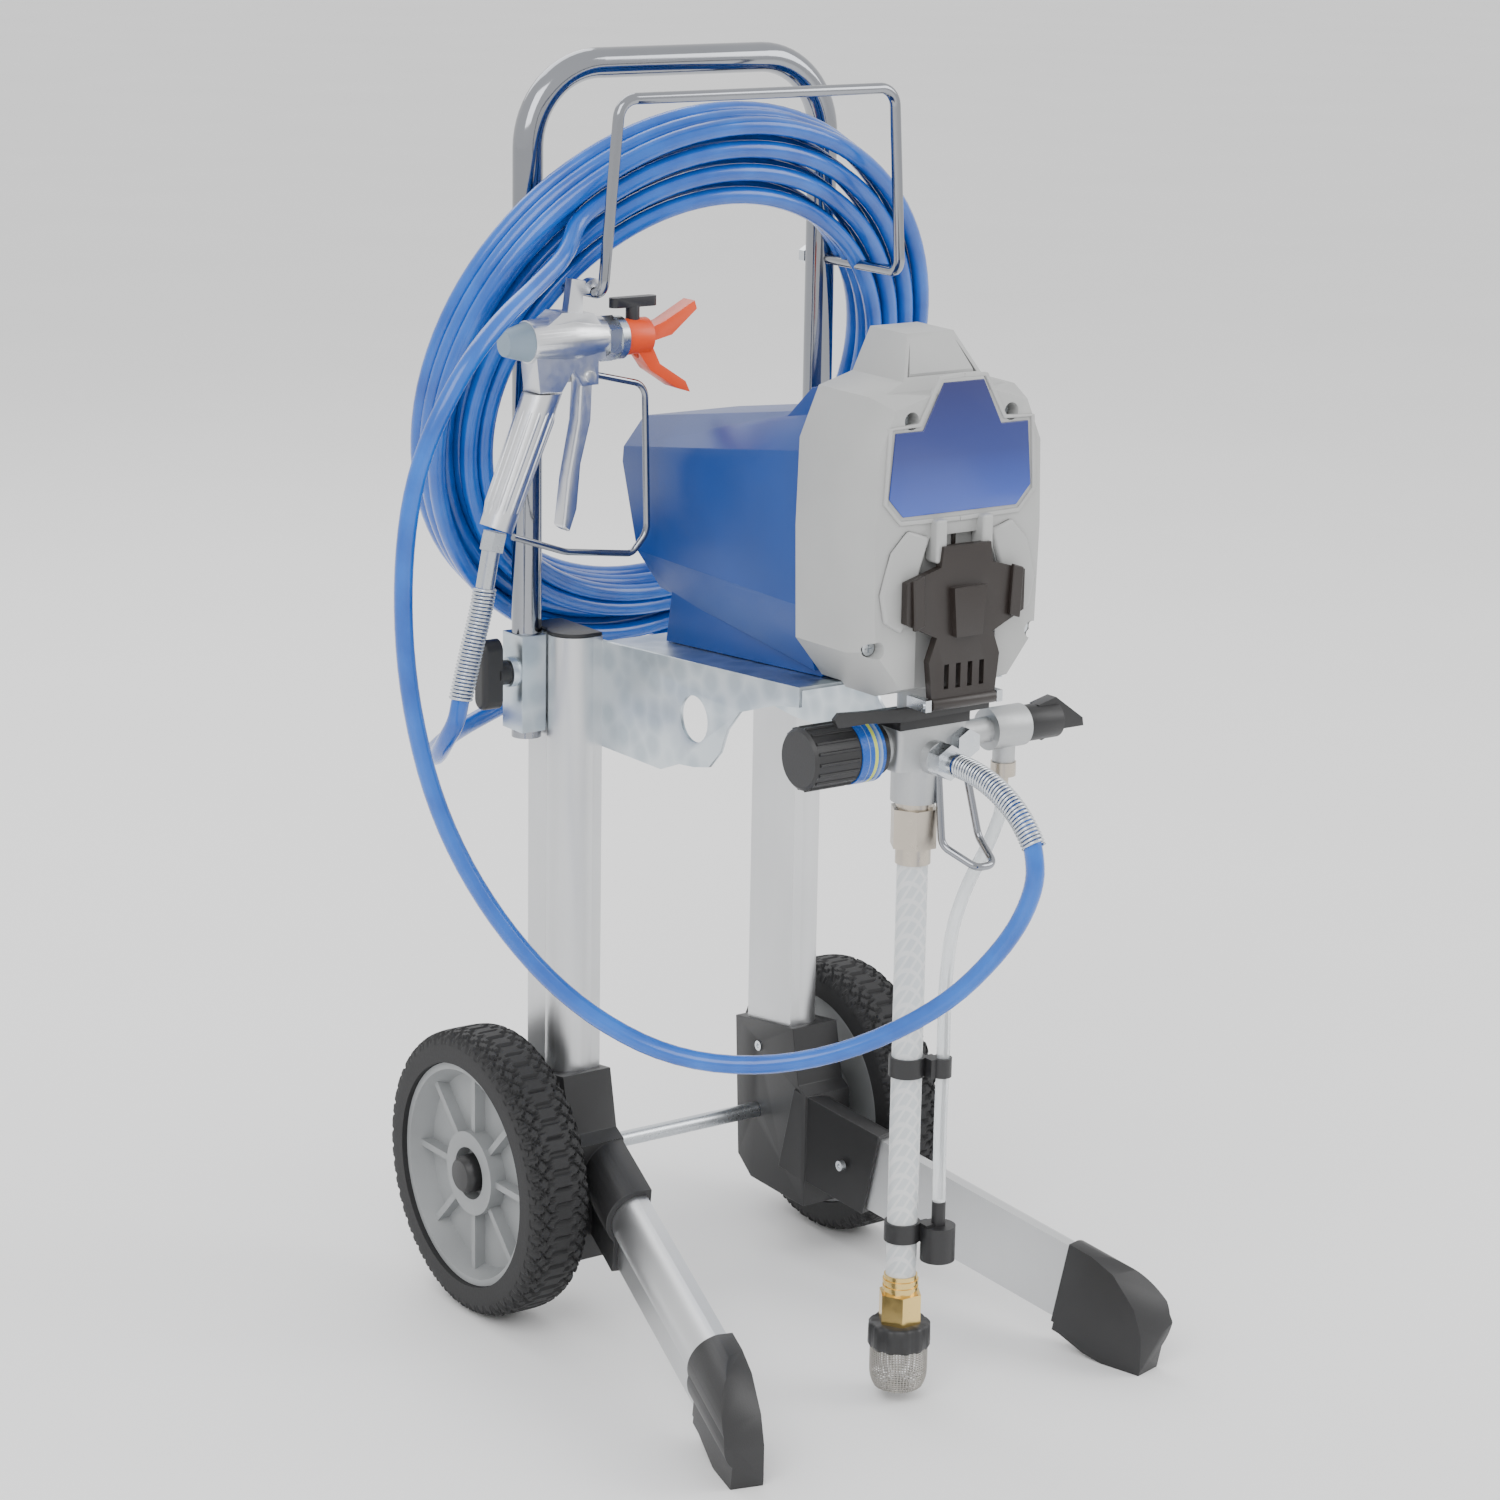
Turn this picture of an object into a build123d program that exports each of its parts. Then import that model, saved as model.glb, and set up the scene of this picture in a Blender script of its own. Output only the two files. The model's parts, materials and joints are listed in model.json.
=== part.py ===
from build123d import *
import math
import os

# Airless paint sprayer on a two-wheel cart, millimetres.
# +Z is up, the pump faces -Y and +X is on the right of somebody who faces the pump.
# Every place below is measured from the floor point under the middle of the axle;
# at() moves it into the part's own frame, whose origin is the middle of the footprint.
AXLE_X = 11.7
AXLE_Y = 130.5

# wheels and axle
WHEEL_R = 110.0
WHEEL_X = 162.5
TYRE_W = 50.0
RIM_R = 85.0
AXLE_R = 6.0
FIT = 0.05
SIDES = {"left": -1, "right": 1}

# frame of D-section aluminium
POST_IN = 88.0
POST_OUT = 116.0
POST_REAR = 19.0
POST_TOP = 520.0
POST_FOOT = 118.0
WALL = 2.0
LEG_START = (88.0, -60.0, 106.0)
LEG_END = (157.0, -318.0, 49.0)
LEG_TALL = 60.0
SHEET = 2.5

# handle and hose rack
HANDLE_X = 129.0
HANDLE_Y = 1.0
HANDLE_R = 11.0
HANDLE_LOW = 442.0
HANDLE_TOP = 929.0
HANDLE_BEND = 58.0
RACK_R = 4.0
RACK_Z = 779.0
RACK_Y = -98.0
RACK_TOP = 913.0
RACK_TOP_X = 118.0
KNOB_Z = 492.0

# drive
MOTOR_Z = 622.0
PINION_TEETH = 12
GEAR_TEETH = 36
MODULE = 1.5
GEAR_Z = MOTOR_Z - MODULE * (PINION_TEETH + GEAR_TEETH) / 2 - 0.4
PUMP_Y = -300.0
MANIFOLD_Z = 487.0

# hose
HOSE_R = 6.5
COIL_CENTRE = (0.0, 1.0, 693.0)
COIL_R = 196.0
COIL_BUNDLE = 26.0
COIL_TILT = 20.0

# gun
GUN_Y = -84.0
GUN_Z = 748.0
TRIGGER_PIVOT = (-137.0, 722.0)
TIP_X = -95.0

os.makedirs("parts", exist_ok=True)


def at(x, y, z):
    return Vector(x + AXLE_X, y + AXLE_Y, z)


def level(z):
    return Plane(origin=at(0, 0, z), x_dir=(1, 0, 0), z_dir=(0, 0, 1))


def front(y):
    return Plane(origin=at(0, y, 0), x_dir=(1, 0, 0), z_dir=(0, -1, 0))


def side(x):
    return Plane(origin=at(x, 0, 0), x_dir=(0, 1, 0), z_dir=(1, 0, 0))


def line_plane(line):
    return Plane(origin=line @ 0, z_dir=line % 0)


def aimed(start, end):
    a, b = at(*start), at(*end)
    return Plane(origin=a, z_dir=b - a), (b - a).length


def bend_radii(points):
    """The largest arc that the two runs beside each corner of a route allow."""
    radii = []
    for a, b, c in zip(points, points[1:], points[2:]):
        run_in, run_out = Vector(*b) - Vector(*a), Vector(*c) - Vector(*b)
        turn = math.radians(run_in.get_angle(run_out))
        shorter = min(run_in.length, run_out.length)
        radii.append(0.45 * shorter / math.tan(turn / 2))
    return radii


def mirrored_outline(half):
    return half + [(-x, z) for x, z in reversed(half)]


def rod(start, end, radius, bore=0.0):
    """A round bar, or a tube when it has a bore, between two points."""
    plane, length = aimed(start, end)
    with BuildSketch(plane) as section:
        Circle(radius)
        if bore:
            Circle(bore, mode=Mode.SUBTRACT)
    extrude(section.sketch, amount=length)


def hexagon_bar(start, end, flat_radius, bore=0.0):
    plane, length = aimed(start, end)
    with BuildSketch(plane) as section:
        RegularPolygon(flat_radius, 6, major_radius=False)
        if bore:
            Circle(bore, mode=Mode.SUBTRACT)
    extrude(section.sketch, amount=length)


def drill(start, end, radius):
    plane, length = aimed(start, end)
    with BuildSketch(plane) as section:
        Circle(radius)
    extrude(section.sketch, amount=length, mode=Mode.SUBTRACT)


def cone(start, end, radius_a, radius_b):
    plane, length = aimed(start, end)
    with BuildSketch(plane) as near:
        Circle(radius_a)
    with BuildSketch(plane.offset(length)) as far:
        Circle(radius_b)
    loft([near.sketch, far.sketch])


def slab(plane, outline, amount, both=False, mode=Mode.ADD):
    with BuildSketch(plane) as section:
        with BuildLine():
            Polyline(*outline, close=True)
        make_face()
    extrude(section.sketch, amount=amount, both=both, mode=mode)


def block(x, y, z, mode=Mode.ADD):
    """A box from its three (low, high) ranges."""
    with BuildSketch(level(z[0])) as section:
        with Locations(((x[0] + x[1]) / 2, (y[0] + y[1]) / 2)):
            Rectangle(x[1] - x[0], y[1] - y[0])
    extrude(section.sketch, amount=z[1] - z[0], mode=mode)


def wire(points, radii, radius):
    with BuildLine() as path:
        FilletPolyline(*[at(*p) for p in points], radius=radii)
    with BuildSketch(line_plane(path.line)) as section:
        Circle(radius)
    sweep(section.sketch, path=path.line)


def d_section(s):
    """Flat inner face and outer strip, with the round bulge towards the front."""
    with BuildLine() as outline:
        Polyline((s * 116, -6), (s * 116, 19), (s * 88, 19), (s * 88, -38), (s * 96, -38))
        ThreePointArc((s * 96, -38), (s * 120, -24), (s * 116, -6))
    make_face(outline.edges())


def leg_frame(s, gap=0.0):
    """Plane across the leg: local x outward, local y up along the section."""
    start = at(s * LEG_START[0], LEG_START[1] + gap, LEG_START[2])
    run = at(s * LEG_END[0], LEG_END[1], LEG_END[2]) - at(s * LEG_START[0], *LEG_START[1:])
    outward = Vector(-run.Y, run.X, 0)
    if outward.X * s < 0:
        outward = outward * -1
    return Plane(origin=start, x_dir=outward, z_dir=run), run.length


def leg_outline(down, grow=0.0):
    """Leg section: a flat inner face, the bulge above and a strip below."""
    low, high = -LEG_TALL / 2 - grow, LEG_TALL / 2 + grow
    strip, bulge = 18 + grow, 24 + grow
    with BuildLine() as outline:
        Polyline((strip, down * 8), (strip, down * high), (-grow, down * high), (-grow, down * low), (8, down * low))
        ThreePointArc((8, down * low), (bulge, down * (low + 16)), (strip, down * 8))
    make_face(outline.edges())


# ---------------------------------------------------------------- frame
for name, s in SIDES.items():
    with BuildPart() as post:
        with BuildSketch(level(POST_FOOT)):
            d_section(s)
            offset(amount=-WALL, kind=Kind.INTERSECTION, mode=Mode.SUBTRACT)
        extrude(amount=POST_TOP - POST_FOOT)
    post.part.label = f"post_{name}"
    export_step(post.part, f"parts/post_{name}.step")

with BuildPart() as end_caps:
    for s in SIDES.values():
        with BuildSketch(level(POST_TOP)):
            d_section(s)
        extrude(amount=3)
        with BuildSketch(level(POST_TOP)):
            d_section(s)
            offset(amount=-WALL - 0.5, kind=Kind.INTERSECTION, mode=Mode.REPLACE)
        extrude(amount=-12)
    for s in SIDES.values():
        with BuildSketch(Plane(origin=at(s * 169.5, 0, 110), z_dir=(s, 0, 0))):
            Circle(14.5)
            Circle(AXLE_R, mode=Mode.SUBTRACT)
        extrude(amount=13.5)
        with BuildSketch(Plane(origin=at(s * 183, 0, 110), z_dir=(s, 0, 0))):
            Circle(14.5)
        extrude(amount=4.5, taper=30)
end_caps.part.label = "end_caps"
export_step(end_caps.part, "parts/end_caps.step")

for name, s in SIDES.items():
    across, length = leg_frame(s)
    down = -1 if across.y_dir.Z > 0 else 1
    with BuildPart() as leg:
        with BuildSketch(across):
            leg_outline(down)
            offset(amount=-WALL, kind=Kind.INTERSECTION, mode=Mode.SUBTRACT)
        extrude(amount=length)
    leg.part.label = f"leg_{name}"
    export_step(leg.part, f"parts/leg_{name}.step")

    with BuildPart() as foot_cap:
        cap = across.offset(length - 20)
        with BuildSketch(cap):
            leg_outline(down, grow=3.0)
        extrude(amount=80)
        heel = Plane(origin=cap.origin - Vector(0, 0, 11), x_dir=cap.x_dir, z_dir=cap.z_dir)
        with BuildSketch(heel):
            leg_outline(down, grow=3.0)
        extrude(amount=80)
        toe = [(-300, 110), (-322, 83), (-345, 72), (-364, 50), (-371, 30), (-371, 110)]
        slab(side(0), toe, 260, both=True, mode=Mode.SUBTRACT)
        toe_front = [(-371, -60), (-371, 110), (-420, 110), (-420, -60)]
        slab(side(0), toe_front, 260, both=True, mode=Mode.SUBTRACT)
        floor_cut = [(-250, -70), (-250, 24), (-300, 13), (-330, 0), (-430, 0), (-430, -70)]
        slab(side(0), floor_cut, 260, both=True, mode=Mode.SUBTRACT)
        with BuildSketch(across.offset(length - 30)):
            leg_outline(down)
        extrude(amount=30, mode=Mode.SUBTRACT)
    foot_cap.part.label = f"foot_cap_{name}"
    export_step(foot_cap.part, f"parts/foot_cap_{name}.step")

elbow_outline = [
    (30, 180), (24, 66), (6, 52), (-50, 50), (-118, 56), (-136, 124),
    (-76, 134), (-56, 146), (-47, 190),
]
for name, s in SIDES.items():
    across, length = leg_frame(s)
    down = -1 if across.y_dir.Z > 0 else 1
    with BuildPart() as corner:
        slab(side(s * 84), elbow_outline[:4] + [(-66, 50), (-66, 140)] + elbow_outline[7:], s * 42)
        with BuildSketch(across.offset(-16)):
            leg_outline(down, grow=4.0)
        extrude(amount=86)
        rod((s * 84, 0, 110), (s * 136.8, 0, 110), 13)
        with BuildSketch(level(POST_FOOT)):
            d_section(s)
        extrude(amount=90, mode=Mode.SUBTRACT)
        with BuildSketch(across):
            leg_outline(down)
        extrude(amount=120, mode=Mode.SUBTRACT)
        drill((s * 70, 0, 110), (s * 150, 0, 110), AXLE_R)
        for y, z in ((-2, 163.5), (-105, 95)):
            drill((s * 78, y, z), (s * 89, y, z), 4)
    corner.part.label = f"corner_bracket_{name}"
    export_step(corner.part, f"parts/corner_bracket_{name}.step")

with BuildPart() as screws:
    for s in SIDES.values():
        for y, z, x in ((-2, 163.5, 83), (-105, 95, 88)):
            rod((s * x, y, z), (s * (x + 4), y, z), 4)
            drill((s * (x - 1), y, z), (s * (x + 1.5), y, z), 1.8)
    for x, z in ((-42, 719), (42, 719), (-66, 566), (66, 566)):
        rod((x, -326, z), (x, -330, z), 5)
        for turn in (0, 90):
            slot_plane = Plane(origin=at(x, -330, z), x_dir=(1, 0, 0), z_dir=(0, 1, 0))
            with BuildSketch(slot_plane):
                SlotOverall(6, 1.2, rotation=turn)
            extrude(amount=1.5, mode=Mode.SUBTRACT)
screws.part.label = "screws"
export_step(screws.part, "parts/screws.step")

with BuildPart() as axle:
    rod((-183, 0, 110), (183, 0, 110), AXLE_R)
    chamfer(axle.edges().filter_by(GeomType.CIRCLE), 1)
axle.part.label = "axle"
export_step(axle.part, "parts/axle.step")

# ---------------------------------------------------------------- wheels
def wheel_ring(s, points, mode=Mode.ADD):
    """Turn (x from the wheel's middle, radius) points about the axle."""
    plane = Plane(origin=at(s * WHEEL_X, 0, 110), x_dir=(s, 0, 0), z_dir=(0, -s, 0))
    with BuildSketch(plane) as section:
        with BuildLine():
            Polyline(*points, close=True)
        make_face()
    revolve(section.sketch, axis=Axis(at(s * WHEEL_X, 0, 110), (1, 0, 0)), mode=mode)


for name, s in SIDES.items():
    with BuildPart() as wheel:
        bore = AXLE_R + FIT
        wheel_ring(s, [(-25, bore), (-25, 20), (-4, 24), (-4, 76), (-21, 79), (-21, RIM_R),
                       (21, RIM_R), (21, 80), (4, 74), (4, 32), (17, 32), (17, 20), (6, 20), (6, bore)])
        spokes = Plane(origin=at(s * (WHEEL_X + 3), 0, 110), x_dir=(0, 1, 0), z_dir=(s, 0, 0))
        with BuildSketch(spokes):
            with PolarLocations(55, 8):
                Rectangle(48, 5)
        extrude(amount=10)
    wheel.part.label = f"wheel_{name}"
    export_step(wheel.part, f"parts/wheel_{name}.step")

    with BuildPart() as tyre:
        half = TYRE_W / 2
        wheel_ring(s, [(-21, RIM_R), (-half, 92), (-half, 101), (-20, WHEEL_R - 2), (-10, WHEEL_R),
                       (10, WHEEL_R), (20, WHEEL_R - 2), (half, 101), (half, 92), (21, RIM_R)])
    tyre.part.label = f"tyre_{name}"
    export_step(tyre.part, f"parts/tyre_{name}.step")

# ---------------------------------------------------------------- motor bracket
flange = [
    (-38, 516), (-283, 532), (-283, 518), (-256, 514), (-213, 500), (-198, 484), (-190, 466),
    (-176, 452), (-157, 448), (-138, 446), (-115, 437), (-38, 437),
]
with BuildPart() as motor_bracket:
    for s in SIDES.values():
        slab(side(s * 85.5), flange, s * SHEET)
        drill((s * 80, -157, 483), (s * 95, -157, 483), 17)
    top_strip = [(-38, 516), (-283, 532), (-283, 532 - SHEET), (-38, 516 - SHEET)]
    slab(side(0), top_strip, 85.5, both=True)
    for s in SIDES.values():
        slab(side(s * 85.5), [(-38, 516), (-10, 515), (-10, 440), (-38, 437)], s * SHEET)
    for s in SIDES.values():
        with BuildSketch(level(448)):
            with Locations((s * 131, HANDLE_Y)):
                Rectangle(20, 2 * HANDLE_R + 5.4)
            with Locations((s * 118.5, 4.5)):
                Rectangle(5, 19)
            with Locations((s * HANDLE_X, HANDLE_Y)):
                Circle(HANDLE_R + 0.3, mode=Mode.SUBTRACT)
        extrude(amount=72)
        rod((s * 140.9, HANDLE_Y, KNOB_Z), (s * 146, HANDLE_Y, KNOB_Z), 11)
        drill((s * 139, HANDLE_Y, KNOB_Z), (s * 147, HANDLE_Y, KNOB_Z), 4.05)
motor_bracket.part.label = "motor_bracket"
export_step(motor_bracket.part, "parts/motor_bracket.step")

for name, s in SIDES.items():
    with BuildPart() as clamp_knob:
        rod((s * 140.6, HANDLE_Y, KNOB_Z), (s * 147, HANDLE_Y, KNOB_Z), 4)
        rod((s * 146.4, HANDLE_Y, KNOB_Z), (s * 156, HANDLE_Y, KNOB_Z), 9)
        with BuildSketch(Plane(origin=at(s * 154, HANDLE_Y, KNOB_Z), x_dir=(0, 1, 0), z_dir=(s, 0, 0))):
            SlotOverall(52, 16, rotation=90)
        extrude(amount=16)
        grip_edges = clamp_knob.edges().group_by(Axis.X)[-1 if s > 0 else 0]
        fillet(grip_edges, 4)
    clamp_knob.part.label = f"clamp_knob_{name}"
    export_step(clamp_knob.part, f"parts/clamp_knob_{name}.step")

# ---------------------------------------------------------------- handle and rack
with BuildPart() as handle_tube:
    with BuildLine() as handle_path:
        FilletPolyline(
            at(-HANDLE_X, HANDLE_Y, HANDLE_LOW), at(-HANDLE_X, HANDLE_Y, HANDLE_TOP),
            at(HANDLE_X, HANDLE_Y, HANDLE_TOP), at(HANDLE_X, HANDLE_Y, HANDLE_LOW),
            radius=HANDLE_BEND,
        )
    with BuildSketch(line_plane(handle_path.line)):
        Circle(HANDLE_R)
        Circle(HANDLE_R - 1.5, mode=Mode.SUBTRACT)
    sweep(path=handle_path.line)
    for s in SIDES.values():
        drill((s * HANDLE_X, -30, RACK_Z), (s * HANDLE_X, 30, RACK_Z), RACK_R)
handle_tube.part.label = "handle_tube"
export_step(handle_tube.part, "parts/handle_tube.step")

with BuildPart() as hose_rack:
    wire(
        [(-HANDLE_X, 15, RACK_Z), (-HANDLE_X, RACK_Y, RACK_Z), (-RACK_TOP_X, RACK_Y - 3, RACK_TOP),
         (RACK_TOP_X, RACK_Y - 3, RACK_TOP), (HANDLE_X, RACK_Y, RACK_Z), (HANDLE_X, 15, RACK_Z)],
        [10, 14, 14, 10], RACK_R,
    )
hose_rack.part.label = "hose_rack"
export_step(hose_rack.part, "parts/hose_rack.step")

with BuildPart() as rack_nuts:
    for s in SIDES.values():
        hexagon_bar((s * HANDLE_X, 12.2, RACK_Z), (s * HANDLE_X, 19, RACK_Z), 6.5)
        drill((s * HANDLE_X, 12, RACK_Z), (s * HANDLE_X, 15, RACK_Z), RACK_R)
        cone((s * HANDLE_X, 19, RACK_Z), (s * HANDLE_X, 24, RACK_Z), 6, 2.5)
rack_nuts.part.label = "rack_nuts"
export_step(rack_nuts.part, "parts/rack_nuts.step")

# ---------------------------------------------------------------- motor housing and cover
housing_rear = [(42, 676), (64, 656), (67, 646), (67, 584), (52, 556)]
housing_front = [(48, 716), (74, 690), (77, 676), (77, 584), (60, 536)]
REAR_TOP_Y = -20.0
REAR_BOTTOM_Y = -59.0
HOUSING_FRONT_Y = -262.0


def housing_section(half, y_top, y_bottom, wall):
    """A closed loop through the half outline, leaning so that its top is at y_top."""
    top, low = half[0][1], half[-1][1]
    ring = []
    for x, z in half:
        inner_z = z - wall if z > (top + low) / 2 else z + wall
        lean = (top - inner_z) / (top - low)
        ring.append((x - wall, y_top + (y_bottom - y_top) * lean, inner_z))
    ring += [(-x, y, z) for x, y, z in reversed(ring)]
    with BuildLine() as loop:
        Polyline(*[at(*p) for p in ring], close=True)
    return Face(loop.wire())


with BuildPart() as motor_housing:
    rear_face = housing_section(housing_rear, REAR_TOP_Y, REAR_BOTTOM_Y, 0)
    front_face = housing_section(housing_front, HOUSING_FRONT_Y, HOUSING_FRONT_Y, 0)
    loft([rear_face, front_face], ruled=True)
    brow = [(-205, 700), (-238, 728), (-262, 733), (-262, 700)]
    slab(side(0), brow, 50, both=True)
    shoe = [(-70, 518.6), (-80, 575), (-262, 575), (-262, 531)]
    slab(side(0), shoe, 54, both=True)
    rear_room = housing_section(housing_rear, REAR_TOP_Y - 6, REAR_BOTTOM_Y - 6, 3)
    front_room = housing_section(housing_front, HOUSING_FRONT_Y - 1, HOUSING_FRONT_Y - 1, 3)
    loft([rear_room, front_room], ruled=True, mode=Mode.SUBTRACT)
    for z in range(576, 664, 10):
        block((-48, 48), (-70, 0), (z, z + 4), mode=Mode.SUBTRACT)
motor_housing.part.label = "motor_housing"
export_step(motor_housing.part, "parts/motor_housing.step")

cover_half = [(50, 528), (77, 562), (79, 640), (77, 700), (62, 734), (34, 742), (20, 771)]


def cover_section(y, inset):
    outline = mirrored_outline(cover_half)
    with BuildSketch(front(y)) as section:
        with BuildLine():
            Polyline(*outline, close=True)
        make_face()
        if inset:
            offset(amount=-inset, kind=Kind.INTERSECTION, mode=Mode.REPLACE)
    return section.sketch


with BuildPart() as front_cover:
    loft([cover_section(-262.2, 0), cover_section(-318, 0.6)], ruled=True)
    loft([cover_section(-318, 0.6), cover_section(-340, 9)], ruled=True)
    loft([cover_section(-262, 3), cover_section(-317, 3.4)], ruled=True, mode=Mode.SUBTRACT)
    slab(front(-264), [(-32, 732), (32, 732), (18, 768), (-18, 768)], 52)
    slab(side(0), [(-322, 735), (-300, 775), (-341, 790), (-341, 735)], 90, both=True, mode=Mode.SUBTRACT)
    recess = [(-34, 510), (-34, 615), (-24, 640), (24, 640), (34, 615), (34, 510)]
    slab(front(-334), recess, 10, mode=Mode.SUBTRACT)
    block((-15, 15), (-320, -270), (520, 540), mode=Mode.SUBTRACT)
    block((-89, 89), (-284, -250), (510, 533), mode=Mode.SUBTRACT)
    for x, z in ((-42, 719), (42, 719), (-66, 566), (66, 566)):
        drill((x, -345, z), (x, -326, z), 6)
front_cover.part.label = "front_cover"
export_step(front_cover.part, "parts/front_cover.step")

badge_outline = [
    (-17, 743), (17, 743), (33, 712), (56, 712), (60, 668), (48, 655),
    (-48, 655), (-60, 668), (-56, 712), (-33, 712),
]
with BuildPart() as badge:
    slab(front(-340), badge_outline, 1.2)
badge.part.label = "badge"
export_step(badge.part, "parts/badge.step")

# ---------------------------------------------------------------- pump door and its hinge
DOOR_HINGE = (-349.0, 526.0)
with BuildPart() as pump_door:
    door_outline = [
        (-27, 530), (-30, 556), (-24, 572), (-50, 584), (-50, 612), (-22, 620), (-20, 634),
        (20, 634), (22, 620), (50, 612), (50, 584), (24, 572), (30, 556), (27, 530),
    ]
    slab(front(-344.5), door_outline, 6)
    tab_outline = [(-11, 572), (-14, 606), (14, 606), (11, 572)]
    slab(front(-350.5), tab_outline, 5)
    for x in (-15, -5, 5, 15):
        block((x - 2, x + 2), (-351, -344), (536, 553), mode=Mode.SUBTRACT)
    rod((-27, *DOOR_HINGE), (27, *DOOR_HINGE), 4.5)
    drill((-28, *DOOR_HINGE), (28, *DOOR_HINGE), 2.05)
pump_door.part.label = "pump_door"
export_step(pump_door.part, "parts/pump_door.step")

with BuildPart() as door_hinge:
    rod((-34, *DOOR_HINGE), (34, *DOOR_HINGE), 2)
    for s in SIDES.values():
        block(sorted((s * 28, s * 33)), (-352, -331), (522, 530))
door_hinge.part.label = "door_hinge"
export_step(door_hinge.part, "parts/door_hinge.step")

# ---------------------------------------------------------------- motor and gears
def gear(y, depth, z, teeth, turn, bore):
    pitch_r = MODULE * teeth / 2
    plane = Plane(origin=at(0, y, z), x_dir=(1, 0, 0), z_dir=(0, -1, 0))
    with BuildSketch(plane) as section:
        Circle(pitch_r - 1.7)
        with PolarLocations(pitch_r - 0.4, teeth, start_angle=turn):
            Trapezoid(1.7, 3.0, 80, rotation=-90)
        if bore:
            Circle(bore, mode=Mode.SUBTRACT)
    extrude(section.sketch, amount=depth)


with BuildPart() as stator:
    rod((0, -95, MOTOR_Z), (0, -175, MOTOR_Z), 48, 31)
    for s in SIDES.values():
        block(sorted((s * 49, s * 57)), (-180, -95), (592, 640))
    rod((0, -90, MOTOR_Z), (0, -94.5, MOTOR_Z), 48, 38)
stator.part.label = "stator"
export_step(stator.part, "parts/stator.step")

with BuildPart() as rotor:
    rod((0, -100, MOTOR_Z), (0, -170, MOTOR_Z), 29)
    rod((0, -80, MOTOR_Z), (0, -230, MOTOR_Z), 4)
    rod((0, -176.5, MOTOR_Z), (0, -183, MOTOR_Z), 30)
    for turn in range(0, 360, 45):
        a = math.radians(turn)
        drill((20 * math.cos(a), -175, MOTOR_Z + 20 * math.sin(a)),
              (20 * math.cos(a), -185, MOTOR_Z + 20 * math.sin(a)), 5)
    gear(-205, 16, MOTOR_Z, PINION_TEETH, 15, 0)
rotor.part.label = "rotor"
export_step(rotor.part, "parts/rotor.step")

with BuildPart() as motor_bearings:
    rod((0, -82, MOTOR_Z), (0, -90, MOTOR_Z), 12, 4 + FIT)
    rod((0, -223, MOTOR_Z), (0, -230.5, MOTOR_Z), 10, 4 + FIT)
    rod((0, -232, GEAR_Z), (0, -246, GEAR_Z), 14, 7 + FIT)
motor_bearings.part.label = "motor_bearings"
export_step(motor_bearings.part, "parts/motor_bearings.step")

with BuildPart() as drive_gear:
    gear(-207, 12, GEAR_Z, GEAR_TEETH, 0, 0)
    rod((0, -219, GEAR_Z), (0, -256, GEAR_Z), 7)
    rod((0, -256, GEAR_Z), (0, -266, GEAR_Z), 20)
    rod((0, -266, GEAR_Z + 10), (0, -276, GEAR_Z + 10), 4)
drive_gear.part.label = "drive_gear"
export_step(drive_gear.part, "parts/drive_gear.step")

with BuildPart() as drive_housing:
    with BuildSketch(front(-230.5)):
        with Locations((0, 608)):
            RectangleRounded(110, 92, 12)
        with Locations((0, GEAR_Z)):
            Circle(14, mode=Mode.SUBTRACT)
    extrude(amount=8)
    with BuildSketch(front(-75.5)):
        with Locations((0, MOTOR_Z)):
            Circle(40)
            Circle(12, mode=Mode.SUBTRACT)
    extrude(amount=14.5)
    block((-20, 20), (-238.5, -230.5), (545, 562))
drive_housing.part.label = "drive_housing"
export_step(drive_housing.part, "parts/drive_housing.step")

# ---------------------------------------------------------------- pump
with BuildPart() as manifold:
    block((-30, 30), (PUMP_Y - 20, PUMP_Y + 18), (472, 502))
    rod((0, PUMP_Y, 445), (0, PUMP_Y, 472), 17)
    rod((0, PUMP_Y, 502), (0, PUMP_Y, 527.5), 14)
    rod((-28, PUMP_Y, MANIFOLD_Z), (-36, PUMP_Y, MANIFOLD_Z), 14)
    rod((28, PUMP_Y, MANIFOLD_Z), (62, PUMP_Y, MANIFOLD_Z), 9)
    rod((62, PUMP_Y, MANIFOLD_Z), (92, PUMP_Y, MANIFOLD_Z), 15)
    rod((0, -318, 480), (0, -328, 480), 12)
    rod((78, PUMP_Y, 478), (78, PUMP_Y, 462), 8)
    edges = manifold.edges().filter_by(Axis.Z).filter_by(lambda e: e.length > 29)
    fillet(edges, 5)
    drill((0, PUMP_Y, 440), (0, PUMP_Y, 530), 8 + FIT)
    rod((92, PUMP_Y, MANIFOLD_Z), (109, PUMP_Y, MANIFOLD_Z), 4)
manifold.part.label = "manifold"
export_step(manifold.part, "parts/manifold.step")

with BuildPart() as piston_rod:
    rod((0, PUMP_Y, 452), (0, PUMP_Y, 560), 8)
    block((-22, 22), (PUMP_Y - 8, PUMP_Y + 10), (560, 604))
    block((-15, 15), (PUMP_Y - 9, PUMP_Y + 11), (566, 598), mode=Mode.SUBTRACT)
piston_rod.part.label = "piston_rod"
export_step(piston_rod.part, "parts/piston_rod.step")

with BuildPart() as pump_fittings:
    hexagon_bar((0, PUMP_Y, 412), (0, PUMP_Y, 440), 15, 8.5)
    rod((0, PUMP_Y, 440), (0, PUMP_Y, 445), 13, 8.5)
    rod((0, PUMP_Y, 400), (0, PUMP_Y, 412), 12.5, 8.5)
    rod((78, PUMP_Y, 462), (78, PUMP_Y, 452), 9)
    rod((78, PUMP_Y, 452), (78, PUMP_Y, 443), 4)
pump_fittings.part.label = "pump_fittings"
export_step(pump_fittings.part, "parts/pump_fittings.step")

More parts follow.
